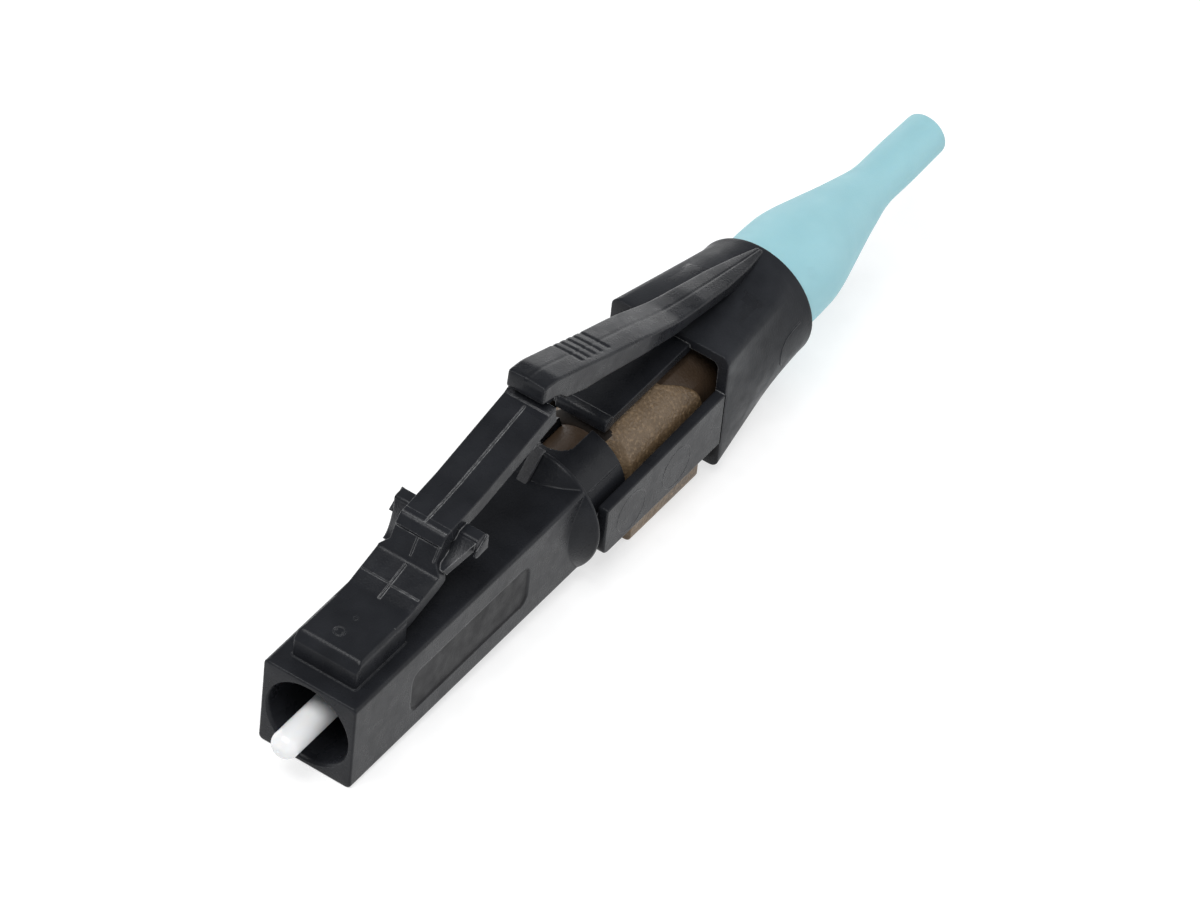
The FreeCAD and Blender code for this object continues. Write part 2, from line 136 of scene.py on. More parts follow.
# %% Choose faces and give them a finish
def face_middles(piece):
    """Middle of every face in millimetres, as one table."""
    middles = np.empty(len(piece.data.polygons) * 3)
    piece.data.polygons.foreach_get("center", middles)
    return middles.reshape(-1, 3) / MM


def paint(piece, chosen, material):
    """Gives the chosen faces one more finish; the others keep theirs."""
    which = np.empty(len(chosen), np.int32)
    piece.data.polygons.foreach_get("material_index", which)
    which[chosen] = len(piece.data.materials)
    piece.data.materials.append(material)
    piece.data.polygons.foreach_set("material_index", which)
    print(piece.name, "faces in", material.name + ":", int(chosen.sum()))


print("faces are chosen by their middles, in units of", MM, "m")

# %% [markdown]
# ## Rounded squares
# Most sections here are rounded squares: flat sides, with a corner radius so that the plastic fills the
# mould. A row keeps the same number of points whatever its size, so that a square can turn into a
# circle row by row.

# %% Columns and rows of a rounded square
def square_columns(side_points, corner_points):
    """Columns of a rounded square as four rows of numbers: where the corner's centre lies on each side
    (a share from -1 to 1, across and up) and the unit direction from that centre to the surface."""
    turn = np.linspace(0, math.pi / 2, corner_points)
    run = np.linspace(-1, 1, side_points + 2)[1:-1]
    flat = np.ones(side_points)
    parts = []
    for quarter in range(4):
        angle = turn + quarter * math.pi / 2
        cx, cz = [(1, 1), (-1, 1), (-1, -1), (1, -1)][quarter]
        parts.append(np.stack([cx + 0 * turn, cz + 0 * turn, np.cos(angle), np.sin(angle)]))
        along = [(-run, flat), (-flat, -run), (run, -flat), (flat, run)][quarter]
        way = [(0, 1), (-1, 0), (0, -1), (1, 0)][quarter]
        parts.append(np.stack([along[0], along[1], way[0] * flat, way[1] * flat]))
    return np.concatenate(parts, 1)


def squares(columns, half, low, high, corner):
    """X and Z of rounded squares, one row for each entry of the sizes: the corner's centre is drawn in
    by the corner radius, and the surface stands one radius out from it."""
    half, low, high, corner = (np.reshape(v, (-1, 1)) for v in (half, low, high, corner))
    middle, tall = (low + high) / 2, (high - low) / 2
    x = columns[0] * (half - corner) + columns[2] * corner
    z = middle + columns[1] * (tall - corner) + columns[3] * corner
    return x, z


print("a small rounded square has", square_columns(6, 5).shape[1], "columns")

# %% [markdown]
# ## Plates cut to a side outline
# Arms, hooks and bars are plates: an outline through a few corners, each with its own small radius, is
# pulled straight across, and the two faces get a rounded rim.

# %% Outlines and plates
def round_corners(corners, radius, step=0.12):
    """Closed outline through straight runs and corners. Each corner is a parabola from the radius
    before it to the radius behind it, and never uses more than 0.48 of a run."""
    spots = np.array(corners, float)
    reach = np.broadcast_to(np.asarray(radius, float), (len(spots),))
    back, ahead = np.roll(spots, 1, 0) - spots, np.roll(spots, -1, 0) - spots
    back_len, ahead_len = np.linalg.norm(back, axis=1), np.linalg.norm(ahead, axis=1)
    start = spots + back * (np.minimum(reach, 0.48 * back_len) / back_len)[:, None]
    end = spots + ahead * (np.minimum(reach, 0.48 * ahead_len) / ahead_len)[:, None]
    t = np.linspace(0, 1, 7)[:, None]
    pieces = []
    for k in range(len(spots)):
        pieces.append((1 - t) ** 2 * start[k] + 2 * t * (1 - t) * spots[k] + t ** 2 * end[k])
        onward = start[(k + 1) % len(spots)]
        count = int(np.linalg.norm(onward - end[k]) / step)
        pieces.append(end[k] + (onward - end[k]) * (np.arange(1, count + 1) / (count + 1))[:, None])
    return np.concatenate(pieces)


def drawn_in(outline, amount):
    """The outline moved inwards by an amount, along the normal of each point's two neighbours."""
    ahead = np.roll(outline, -1, 0) - np.roll(outline, 1, 0)
    ahead /= np.linalg.norm(ahead, axis=1)[:, None]
    area = np.sum(outline[:, 0] * np.roll(outline[:, 1], -1) - np.roll(outline[:, 0], -1) * outline[:, 1])
    inward = np.stack([-ahead[:, 1], ahead[:, 0]], 1) * np.sign(area)
    return outline + inward * amount


def plate(outline, start, end, edge, across="x"):
    """Solid between two flat faces, from start to end in either order. Near each face the outline is
    drawn in by edge * (1 - sin a) at the depth edge * (1 - cos a), a quarter circle."""
    low, high = sorted((start, end))
    a = np.linspace(0, math.pi / 2, 5)
    inset = edge * (1 - np.sin(a))
    depth = edge * (1 - np.cos(a))
    rows = [(low + d, i) for d, i in zip(depth, inset)]
    rows += [(high - d, i) for d, i in zip(depth[::-1], inset[::-1])]
    grid = []
    for place, i in rows:
        loop = drawn_in(outline, i)
        flat = np.full(len(loop), place)
        order = {"x": (flat, loop[:, 0], loop[:, 1]), "y": (loop[:, 0], flat, loop[:, 1])}[across]
        grid.append(np.stack(order, 1))
    return skin(np.array(grid))


print("a square outline has", len(round_corners([(0, 0), (1, 0), (1, 1), (0, 1)], 0.1)), "points")

# %% [markdown]
# ## Turned shapes, fine lines and soft bends
# The ferrule, the cam and the boot are turned about one axis. Fine mould lines are low arches carried
# along a path. And a line through a few measured points is softened by a bell curve, because plastic
# never bends at a point.

# %% Turned skins, bead lines and eased lines
def turned(profile, columns=96):
    """Skin turned about the connector's axis: a closed profile of (y, radius), each swept to a circle."""
    y, radius = np.array(profile, float).T
    angle = np.arange(columns) / columns * 2 * math.pi
    x = radius[:, None] * np.sin(angle)
    z = radius[:, None] * np.cos(angle)
    return skin(np.stack([x, np.broadcast_to(y[:, None], x.shape), z], -1), ring=True)


def bead_line(path, up, half, proud):
    """Fine raised line: a low arch carried along a path. up is the way it stands off the surface, and
    the arch spans half to each side and proud above the path; its feet are sunk 0.05 below the path."""
    path, up = np.array(path, float), np.array(up, float)
    ahead = np.gradient(path, axis=0)
    ahead /= np.linalg.norm(ahead, axis=1)[:, None]
    up = np.broadcast_to(up / np.linalg.norm(up, axis=-1, keepdims=True), path.shape)
    side = np.cross(ahead, up)
    low = 0.6 * proud
    arch = np.array([(-1, -0.05), (-1, 0), (-0.7, low), (0, proud), (0.7, low), (1, 0), (1, -0.05)])
    return skin(path[:, None] + side[:, None] * arch[:, :1] * half + up[:, None] * arch[:, 1:])


def eased(points, step=0.08, spread=0.0):
    """Even steps along a line through (place, size, ...) rows, softened by a bell curve of the given
    width so that its corners turn into small bends. The ends stay where they are."""
    points = np.array(points, float)
    run = np.concatenate([[0], np.cumsum(np.linalg.norm(np.diff(points[:, :2], axis=0), axis=1))])
    s = np.linspace(0, run[-1], max(int(run[-1] / step), 4) + 1)
    line = np.stack([np.interp(s, run, points[:, k]) for k in range(points.shape[1])], 1)
    if not spread:
        return line
    reach = int(4 * spread / (s[1] - s[0])) + 1
    bell = np.exp(-0.5 * (np.arange(-reach, reach + 1) * (s[1] - s[0]) / spread) ** 2)
    before = 2 * line[0] - line[1:reach + 1][::-1]
    after = 2 * line[-1] - line[-reach - 1:-1][::-1]
    padded = np.concatenate([before, line, after])
    bell /= bell.sum()
    return np.stack([np.convolve(column, bell, "valid") for column in padded.T], 1)


print("a 1 mm line eases into", len(eased([(0, 0), (1, 0)])), "points")

# %% [markdown]
# ## Finishes
# The part is moulded in black and tan plastic and soft aqua rubber, with a ceramic ferrule. Moulded
# plastic is never one flat colour: the mould leaves a fine grain, and the gloss changes from place to
# place. Edges get a painted highlight, a lighter tone where they would glint. One recipe makes all the
# finishes, from noise at three scales, and only its numbers change. Scales are per metre, because the
# coordinates are in metres.

# %% Helpers for noise and colour
def add_noise(tree, scale, detail=3.0):
    """Noise over the piece's own coordinates, a share from 0 to 1. Scale is per metre."""
    place = tree.nodes.get("Texture Coordinate") or tree.nodes.new("ShaderNodeTexCoord")
    node = tree.nodes.new("ShaderNodeTexNoise")
    node.inputs["Scale"].default_value = scale
    node.inputs["Detail"].default_value = detail
    tree.links.new(place.outputs["Object"], node.inputs["Vector"])
    return node.outputs["Fac"]


def add_spread(tree, value, low, high, from_low=0.3, from_high=0.7):
    """Straight line from low at from_low to high at from_high, held level outside them."""
    node = tree.nodes.new("ShaderNodeMapRange")
    for key, number in (("From Min", from_low), ("From Max", from_high), ("To Min", low), ("To Max", high)):
        node.inputs[key].default_value = number
    tree.links.new(value, node.inputs["Value"])
    return node.outputs["Result"]


def add_mix(tree, share, first, second):
    """Mix of two colours: (1 - share) of the first and share of the second."""
    node = tree.nodes.new("ShaderNodeMix")
    node.data_type = "RGBA"
    tree.links.new(share, node.inputs["Factor"])
    for socket, colour in (("A", first), ("B", second)):
        target = [s for s in node.inputs if s.name == socket and s.type == "RGBA"][0]
        if isinstance(colour, tuple):
            target.default_value = (*colour, 1)
        else:
            tree.links.new(colour, target)
    return [s for s in node.outputs if s.type == "RGBA"][0]


print("noise at 9000 per metre has grains of about", round(1000 / 9000, 2), "mm")

# %% Helpers for edges and bumps
# Reach, in mm, within which an edge gets the painted highlight.
GLINT_REACH = 0.08


def add_rounding(tree, radius, samples):
    """The surface's direction averaged over a radius, in millimetres, around each point."""
    node = tree.nodes.new("ShaderNodeBevel")
    node.samples = samples
    node.inputs["Radius"].default_value = radius * MM
    return node.outputs["Normal"]


def add_edge_highlight(tree):
    """Share of painted edge highlight: a lighter tone where edges would glint. The surface's direction is
    multiplied (dot product) with its average nearby: at 0.97 or more there is no edge, at 0.78 or less
    there is a full one. Patchy noise breaks it up."""
    same = tree.nodes.new("ShaderNodeVectorMath")
    same.operation = "DOT_PRODUCT"
    tree.links.new(add_rounding(tree, GLINT_REACH, 6), same.inputs[0])
    tree.links.new(tree.nodes.new("ShaderNodeNewGeometry").outputs["Normal"], same.inputs[1])
    both = tree.nodes.new("ShaderNodeMath")
    both.operation = "MULTIPLY"
    tree.links.new(add_spread(tree, same.outputs["Value"], 1, 0, 0.78, 0.97), both.inputs[0])
    tree.links.new(add_spread(tree, add_noise(tree, 4500), 0.3, 1, 0.35, 0.65), both.inputs[1])
    return both.outputs["Value"]


def add_bump(tree, height, depth, before=None):
    """Tilts the surface's direction by a height, depth millimetres at most, on top of what is before."""
    node = tree.nodes.new("ShaderNodeBump")
    node.inputs["Distance"].default_value = depth * MM
    tree.links.new(height, node.inputs["Height"])
    if before is not None:
        tree.links.new(before, node.inputs["Normal"])
    return node.outputs["Normal"]


print("an edge is looked for within", GLINT_REACH, "mm")

# %% The recipe
TONE_SCALE = 600
GLOSS_SCALE = 1500
WAVE_SCALE = 450
GLOW_DEPTH = (1.0, 0.7, 0.5)
GLOW_REACH = 0.0006


def finish(name, dark, light, rough, grain=9000, grain_depth=0.004, edge=0.0, wave_depth=0.004,
           spec=0.5, sss=0.0, metal=0.0, rounding=0.0, speck=0.0, glow=0.0):
    """A material whose colour runs between two tones over slow noise, whose roughness follows a middle
    scale, and whose height adds fine grain to a slow wave. Depths are mm. Speck adds lighter grains,
    edge a painted highlight, a lighter tone along edges, and rounding softens sharp edges."""
    made = bpy.data.materials.new(name)
    made.use_nodes = True
    tree = made.node_tree
    shader = tree.nodes["Principled BSDF"]
    colour = add_mix(tree, add_spread(tree, add_noise(tree, TONE_SCALE), 0, 1), dark, light)
    if speck:
        lighter = tuple(min(1, v * (1 + speck)) for v in light)
        spots = add_spread(tree, add_noise(tree, grain * 0.8, 2), 0, 1, 0.5, 0.72)
        colour = add_mix(tree, spots, colour, lighter)
    # Painted highlight: edges get a lighter tone where they would glint.
    if edge:
        edge_light = tuple(min(1, v + edge) for v in light)
        colour = add_mix(tree, add_edge_highlight(tree), colour, edge_light)
    tree.links.new(colour, shader.inputs["Base Color"])
    tree.links.new(add_spread(tree, add_noise(tree, GLOSS_SCALE), *rough), shader.inputs["Roughness"])
    shader.inputs["Specular IOR Level"].default_value = spec
    shader.inputs["Metallic"].default_value = metal
    if glow:
        tree.links.new(colour, shader.inputs["Emission Color"])
        shader.inputs["Emission Strength"].default_value = glow
    if sss:
        shader.inputs["Subsurface Weight"].default_value = sss
        shader.inputs["Subsurface Radius"].default_value = GLOW_DEPTH
        shader.inputs["Subsurface Scale"].default_value = GLOW_REACH
    normal = add_rounding(tree, rounding, 4) if rounding else None
    normal = add_bump(tree, add_noise(tree, WAVE_SCALE, 1), wave_depth, normal)
    normal = add_bump(tree, add_noise(tree, grain, 2), grain_depth, normal)
    tree.links.new(normal, shader.inputs["Normal"])
    return made


print("waves", round(1000 / WAVE_SCALE, 1), "mm long, tones", round(1000 / TONE_SCALE, 1), "mm wide")

# %% Black plastics
# edge sets the painted highlight along edges; the latch's finish has the strongest.
mould = dict(grain_depth=0.008, wave_depth=0.003, rounding=0.03)
satin = dict(dark=(0.0095, 0.0102, 0.0122), light=(0.0155, 0.0165, 0.0195), rough=(0.22, 0.36),
             grain=11000, **mould)
black_satin = finish("black_satin", spec=0.14, edge=0.07, **satin)
black_edge_lit = finish("black_edge_lit", spec=0.155, edge=0.24, **satin)
black_clip = finish("black_clip", spec=0.155, edge=0.17, **satin)
black_bell = finish("black_bell", (0.0125, 0.0135, 0.0160), (0.0210, 0.0225, 0.0260), (0.30, 0.44),
                    grain=11000, spec=0.075, edge=0.06, **mould)
black_coarse = finish("black_coarse", (0.020, 0.020, 0.022), (0.050, 0.050, 0.054), (0.45, 0.6),
                      grain=8000, grain_depth=0.010, wave_depth=0.003, edge=0.12, rounding=0.02)
black_grained = finish("black_grained", (0.0085, 0.0085, 0.0095), (0.016, 0.016, 0.0175), (0.40, 0.56),
                       spec=0.15, **mould)
print("black finishes:", [m.name for m in bpy.data.materials if m.name.startswith("black")])

# %% Tan, rubber and ceramic
tan_stippled = finish("tan_stippled", (0.085, 0.054, 0.028), (0.145, 0.099, 0.056), (0.34, 0.48),
                      grain=8000, grain_depth=0.04, edge=0.05, speck=0.35, spec=0.38, rounding=0.05)
# Painted shade: darker tans for cam faces that sit in shade, the darkest under the tongue's bar.
tan_painted_shade = finish("tan_painted_shade", (0.040, 0.024, 0.013), (0.058, 0.036, 0.021), (0.45, 0.6), grain=8000,
                  grain_depth=0.015, rounding=0.03)
brown_painted_shadow = finish("brown_painted_shadow", (0.010, 0.007, 0.005), (0.017, 0.012, 0.009), (0.5, 0.65), grain=8000,
                    grain_depth=0.01, spec=0.15)
aqua_rubber = finish("aqua_rubber", (0.268, 0.490, 0.540), (0.290, 0.518, 0.568), (0.55, 0.68),
                     grain=12000, grain_depth=0.004, wave_depth=0.0015, spec=0.35, sss=0.15)
white_ceramic = finish("white_ceramic", (0.72, 0.725, 0.73), (0.76, 0.765, 0.77), (0.14, 0.22),
                       grain=20000, grain_depth=0.0006, wave_depth=0.0008, spec=0.6, sss=0.2)
print("other finishes:", [m.name for m in (tan_stippled, tan_painted_shade, brown_painted_shadow, aqua_rubber, white_ceramic)])

# %% What is hidden inside
clear_glass = finish("clear_glass", (0.75, 0.79, 0.82), (0.84, 0.87, 0.9), (0.03, 0.07), grain=30000,
                     grain_depth=0.0003, wave_depth=0.0003)
grey_moulded = finish("grey_moulded", (0.055, 0.055, 0.06), (0.085, 0.085, 0.09), (0.4, 0.55), edge=0.03,
                      rounding=0.04)
pale_moulded = finish("pale_moulded", (0.55, 0.55, 0.50), (0.66, 0.65, 0.60), (0.35, 0.5), edge=0.05,
                      rounding=0.03)
drawn_steel = finish("drawn_steel", (0.42, 0.42, 0.43), (0.56, 0.56, 0.57), (0.2, 0.34), grain=16000,
                     grain_depth=0.002, metal=1.0)
print("finishes in all:", len(bpy.data.materials))

# %% [markdown]
# ## The housing
# The housing is one black moulding: a square nose with a round bore for the ferrule, a long square bar
# with a bare panel on its right side, a round collar that grows out of the bar as a cone, and a round
# barrel. One formula draws them all. A row is a rounded square whose points are pushed out to a least
# radius and pulled in to a greatest one: with a small least radius it stays square, with both the same
# it is a circle, and between them the cone comes up through the flats while the corners still stand.

# %% The housing's rows
NOSE = 2.26
BAR_END = 14.8
RIM = 15.7
COLLAR_END = 15.86
COLLAR_R = 3.1
HOUSING_END = 18.8
BARREL_R = 2.32
OPEN = 9.0
ARMS_FRONT = 16.5
housing_columns = square_columns(60, 9)


def housing_rows():
    """Rows of (y, half square, least radius, greatest radius), in order: out of the bore over the
    mouth, back along the outside, and in again along the rear bore, the spring room and the web."""
    mouth = [(6.2, 2.16, 0, 1.14), (6.2, 2.16, 0, 1.9), (6.17, 2.16, 0, 1.93), (0.22, 2.16, 0, 1.93),
             (0.14, 2.16, 0, 1.94), (0.05, 2.16, 0, 2.0), (0.0, 2.16, 0, 2.05), (0.0, 2.17, 0, 2.12)]
    a = np.linspace(0, math.pi / 2, 6)
    lip = [(0.09 * (1 - math.cos(t)), NOSE - 0.09 + 0.09 * math.sin(t), 0, OPEN) for t in a]
    bar_y = [np.linspace(0.15, 3.8, 24), np.arange(3.86, 12.3, 0.065), np.linspace(12.4, 14.7, 16)]
    bar = [(v, NOSE, 0, OPEN) for v in np.concatenate(bar_y)]
    slope = (COLLAR_R - NOSE) / (RIM - BAR_END)
    cone_y = np.arange(BAR_END - 0.06, RIM - 0.01, 0.03)
    cone = [(v, NOSE, NOSE + slope * (v - BAR_END), OPEN) for v in cone_y]
    circles = [(RIM, 3.085), (RIM + 0.03, COLLAR_R), (RIM + 0.1, COLLAR_R), (COLLAR_END - 0.02, 3.08)]
    circles += [(COLLAR_END, 3.04), (COLLAR_END, 2.40), (COLLAR_END + 0.01, 2.36)]
    circles += [(COLLAR_END + 0.04, BARREL_R)]
    circles += [(v, BARREL_R) for v in np.arange(COLLAR_END + 0.1, HOUSING_END - 0.06, 0.055)]
    circles += [(HOUSING_END - 0.02, BARREL_R - 0.01), (HOUSING_END, BARREL_R - 0.05), (HOUSING_END, 1.97)]
    circles += [(v, 1.92) for v in np.linspace(HOUSING_END - 0.03, 16.83, 34)]
    circles += [(16.8, 1.9), (16.8, 1.72), (7.1, 1.72), (7.1, 1.14)]
    return np.array(mouth + lip + bar + cone + [(v, NOSE, r, r) for v, r in circles])


print("the housing has", len(housing_rows()), "rows of", housing_columns.shape[1], "points")

# %% Panel, notch and the housing's skin
PANEL_Y, PANEL_Z = 8.0, -0.075
PANEL_HALF_LONG, PANEL_HALF_TALL = 4.0, 1.075
PANEL_CORNER, PANEL_DEEP = 0.5, 0.06


def pressed_panel(x, y, z):
    """How deep the label panel lies: full depth inside a rounded rectangle, none outside, and an even
    slope between, as wide as it is deep. outside is the distance to the rectangle's rim."""
    across = np.abs(y - PANEL_Y) - (PANEL_HALF_LONG - PANEL_CORNER)
    up = np.abs(z - PANEL_Z) - (PANEL_HALF_TALL - PANEL_CORNER)
    outside = np.hypot(np.maximum(across, 0), np.maximum(up, 0)) + np.minimum(np.maximum(across, up), 0)
    deep = PANEL_DEEP * np.clip(0.5 - (outside - PANEL_CORNER) / PANEL_DEEP, 0, 1)
    return np.where((x > 2.0) & (y < 12.5), deep, 0)


def pressed_notch(x, y, z):
    """The barrel's notch reaches the rear end and has a round front end. rim is the distance outside
    its outline, and points within it sink to the cam."""
    half, shift, front = 0.78, -0.38, HOUSING_END - 1.95
    rim = np.where(y > front + half, np.abs(x - shift), np.hypot(x - shift, y - front - half)) - half
    floor = 1.55 + 0.75 * np.clip(0.5 + rim / 0.05, 0, 1)
    return np.where((rim < 0.05) & (z > 1.2) & (y > front - 0.1), np.minimum(z, floor), z)


rows = housing_rows()
hx, hz = squares(housing_columns, rows[:, 1], -rows[:, 1], rows[:, 1], 0.2)
hy = np.broadcast_to(rows[:, :1], hx.shape).copy()
far = np.hypot(hx, hz)
pull = np.maximum(np.minimum(1, rows[:, 3:4] / far), rows[:, 2:3] / far)
hx, hz = hx * pull, hz * pull
hx = hx - pressed_panel(hx, hy, hz)
hz = pressed_notch(hx, hy, hz)
housing_skin = skin(np.stack([hx, hy, hz], -1), ring=True)
print("housing skin:", housing_skin[0].shape[0], "points")

# %% [markdown]
# ## What stands on the housing
# The latch's foot rises from the nose as a block with a rounded top rim, a slope at its front and small
# fillets at its base. A round gate mark on top shows where the plastic came in, and a fine mould line
# runs along the barrel. All this is one moulding, so it is one piece. The narrow ramp on the collar has
# a coarser grain, with real bumps, so it is a piece of its own.

# %% Foot, round marks and ramp
FOOT_TOP = 3.58


def latch_foot():
    """The foot is a rounded square in plan, raised by levels (z, half width, front edge): along a hollow
    fillet, straight up, up the front slope, and over the rounded rim to its flat top."""
    t = np.linspace(0, math.pi / 2, 6)
    flare = 0.05 * (1 - np.sin(t))
    levels = [(2.0, 1.62, 0.85)] + list(zip(2.26 + 0.05 * (1 - np.cos(t)), 1.56 + flare, 0.9 - flare))
    levels += [(3.12, 1.56, 0.9), (3.15, 1.56, 0.905), (3.18, 1.56, 0.92), (3.28, 1.56, 1.015)]
    a = np.linspace(0, 1, 8)[1:]
    levels += list(zip(3.33 + 0.25 * np.sin(a * math.pi / 2), 1.56 - 0.2 * (1 - np.cos(a * math.pi / 2)),
                       1.06 + 0.34 * a ** 1.15))
    z, half, front = np.array(levels).T
    x, y = squares(square_columns(12, 9), half, front, 4.36, 0.13)
    return skin(np.stack([x, y, np.broadcast_to(z[:, None], x.shape)], -1))


def round_mark(centre, radius, proud, width, across):
    """Raised ring as an ejector pin leaves it: a half-round bead of the given width, carried round."""
    angle = np.arange(40) / 40 * 2 * math.pi
    bead = np.arange(8) / 8 * 2 * math.pi
    far = radius + width * np.cos(bead)[:, None] + 0 * angle
    high = proud * np.sin(bead)[:, None] + 0 * angle
    u, v = far * np.cos(angle), far * np.sin(angle)
    place = {"x": (high, u, v), "z": (u, v, high)}[across]
    return skin(np.stack(place, -1) + np.array(centre), ring=True)


def collar_ramp():
    """Ramp along a side outline, as rows across it. Each point inside the rim is lifted by a product of
    sines with unlike wavelengths, 0.014 high, like the grain of an etched mould."""
    path = eased([(14.5, 2.24), (15.4, 3.10), (15.5, 3.15), (15.86, 3.15)], 0.02, 0.025)
    v = np.linspace(0, 1, 25)
    x = -0.12 + 0.24 * (2 * v - 1)
    rim = np.clip(np.minimum(v, 1 - v) / 0.1, 0, 1)
    y, z = (np.repeat(path[:, k:k + 1], len(v), 1) for k in (0, 1))
    grain = np.sin(61 * x + 9 * np.sin(23 * y)) * np.sin(67 * y + 7 * np.sin(31 * x))
    z = z + 0.014 * grain * rim - 0.03 * (1 - rim) ** 2
    top = np.stack([np.broadcast_to(x, y.shape), y, z], -1)
    low = top[:, [0, -1]] * [1, 1, 0] + [0, 0, 2.1]
    return skin(np.concatenate([top, low[:, 1:], low[:, :1]], 1))


print("the foot's top lies", FOOT_TOP, "mm above the axis")

# %% The housing and its ramp
gate_mark = round_mark((-0.15, 2.07, FOOT_TOP), 0.24, 0.014, 0.03, "z")
gate_dots = [round_mark((x, 2.07, FOOT_TOP), 0.04, 0.02, 0.025, "z") for x in (-0.34, 0.04)]
small_mark = round_mark((-0.05, 3.05, FOOT_TOP), 0.1, 0.008, 0.03, "z")
mould_way = np.array([0.823, 0, 0.568])
mould_line = bead_line([mould_way * (BARREL_R - 0.002) + [0, y, 0] for y in np.linspace(15.9, 18.6, 12)],
                       mould_way, 0.03, 0.02)
housing = make_piece("housing", [housing_skin, latch_foot(), gate_mark, small_mark, mould_line] + gate_dots,
                     "connector", black_satin, ["front_housing"])
x, y, z = face_middles(housing).T
on_panel = (x > 2.1) & (np.abs(y - PANEL_Y) < PANEL_HALF_LONG) & (np.abs(z - PANEL_Z) < PANEL_HALF_TALL)
on_panel &= x < NOSE - 0.02
paint(housing, on_panel, black_grained)
make_piece("collar_ramp", [collar_ramp()], "connector", black_coarse)

# %% [markdown]
# ## The latch
# The latch is the springy tongue that clicks behind the adapter's shoulders. It grows out of the foot
# without a joint, and bends there, so its skin starts inside the foot. The skin hangs a thickness below
# its top line.

# %% A bar hung from its top line
def hung_bar(top, columns, half, thick, corner, ease=0.1, turn=0.3, crown=0.0, end_round=0.08, crease=0.0,
             shift=((0, 0), (1, 0))):
    """Skin under a top line (y, z), as rounded rectangles across it. half, thick and shift (to the right)
    are (share along, size) tables. The rows stand square to a softened copy of the line, so that the
    underside doesn't fold at a bend. Crown lifts the middle by crown * (1 - (x/half)^2), a crease sinks
    a narrow line along it, and both ends are rounded over by end_round."""
    line = eased(top, 0.07, ease)
    smooth = eased(top, 0.07, turn)
    s = np.concatenate([[0], np.cumsum(np.linalg.norm(np.diff(line, axis=0), axis=1))])
    share = s / s[-1]
    way = np.gradient(smooth, axis=0)
    way /= np.linalg.norm(way, axis=1)[:, None]
    down = np.stack([way[:, 1], -way[:, 0]], 1) * np.sign(way[:, :1])
    wide = np.interp(share, *np.array(half, float).T)
    deep = np.interp(share, *np.array(thick, float).T)
    near = np.minimum(s, s[-1] - s)
    inset = end_round - np.sqrt(np.maximum(end_round ** 2 - np.maximum(end_round - near, 0) ** 2, 0))
    x, v = squares(columns, wide - inset, -(deep - inset), -inset, corner)
    upper = np.clip(1 + v / deep[:, None] * 1.6, 0, 1)
    middle = np.abs(x) / wide[:, None]
    v = v + crown * (1 - middle ** 2) * upper - crease * np.exp(-(x / 0.035) ** 2) * (upper > 0.8)
    y = line[:, :1] - down[:, :1] * v
    z = line[:, 1:2] - down[:, 1:2] * v
    x = x + np.interp(share, *np.array(shift, float).T)[:, None]
    return skin(np.stack([x, y, z], -1)), line


print("a hung bar's line and rows are softened over", hung_bar.__defaults__[:2], "mm")

# %% The latch's arm and tail
LATCH_TOP = [(3.5, 3.572), (4.5, 3.60), (6.4, 4.18), (7.25, 5.61), (9.7, 5.97), (14.25, 7.01), (14.7, 7.08)]
bar_columns = square_columns(14, 5)
front_arm, _ = hung_bar(LATCH_TOP[:4] + [(7.7, 5.68)], bar_columns,
                        [(0, 1.5), (0.6, 1.5), (0.68, 1.14), (1, 1.12)],
                        [(0, 0.66), (0.4, 0.72), (0.7, 0.8), (1, 0.7)], 0.07, ease=0.07)
tail, tail_line = hung_bar([(6.9, 5.2), (7.25, 5.58), (7.6, 5.66)] + LATCH_TOP[4:], bar_columns,
                           [(0, 1.12), (1, 1.12)], [(0, 0.7), (0.2, 0.86), (1, 0.86)], 0.07, ease=0.06)
print("the tail's top line runs from", np.round(tail_line[0], 2), "to", np.round(tail_line[-1], 2))

# %% [markdown]
# ## Catch ears and fine lines on the latch
# Two ears stick out of the riser and hook behind the adapter's edges. Each has a hollow ramp in front,
# which lets it slide in, and a small upright fin at its outer end. The mould also leaves fine raised
# lines along the middle and across the arm. They catch the light, so they are real geometry, not paint.

# %% Ears, ridges and cross lines
def catch_ear(side):
    """The ramp climbs along a hollow curve and widens from the riser's side to the ear's full reach.
    Behind it lies the ear's flat top, and at the outer end stands a narrow fin."""
    t = np.linspace(0, 1, 18)[:, None]
    y, z = 6.72 + 1.5 * t, 4.3 + 0.85 * t ** 1.6
    reach = 1.49 + 0.54 * t ** 1.5
    corner = np.array([(0, 0), (1, 0), (1, -1), (0, -1)])
    x = 0.9 + (reach - 0.9) * corner[:, 0]
    deep = 0.5 * corner[:, 1]
    ramp = skin(np.stack([side * x, y - deep * 0.55, z + deep * 0.8], -1))
    top = round_corners([(8.14, 4.95), (8.16, 5.14), (8.26, 5.22), (8.76, 5.24), (8.78, 4.5), (8.2, 4.45)],
                        0.06)
    fin = round_corners([(7.98, 4.5), (8.82, 5.16), (8.86, 5.1), (8.86, 4.4), (8.1, 4.36)], 0.04)
    return [ramp, plate(top, side, side * 2.04, 0.05), plate(fin, side * 2.0, side * 2.13, 0.02)]


def ridge(line, start, end, width, proud, x=0.0):
    """Thin raised line along a bar, at its own place across it."""
    chosen = line[(line[:, 0] > start) & (line[:, 0] < end)]
    way = np.gradient(chosen, axis=0)
    up = np.stack([0 * way[:, 0], -way[:, 1], way[:, 0]], 1)
    return bead_line(np.stack([x + 0 * way[:, 0], chosen[:, 0], chosen[:, 1]], 1), up, width, proud)


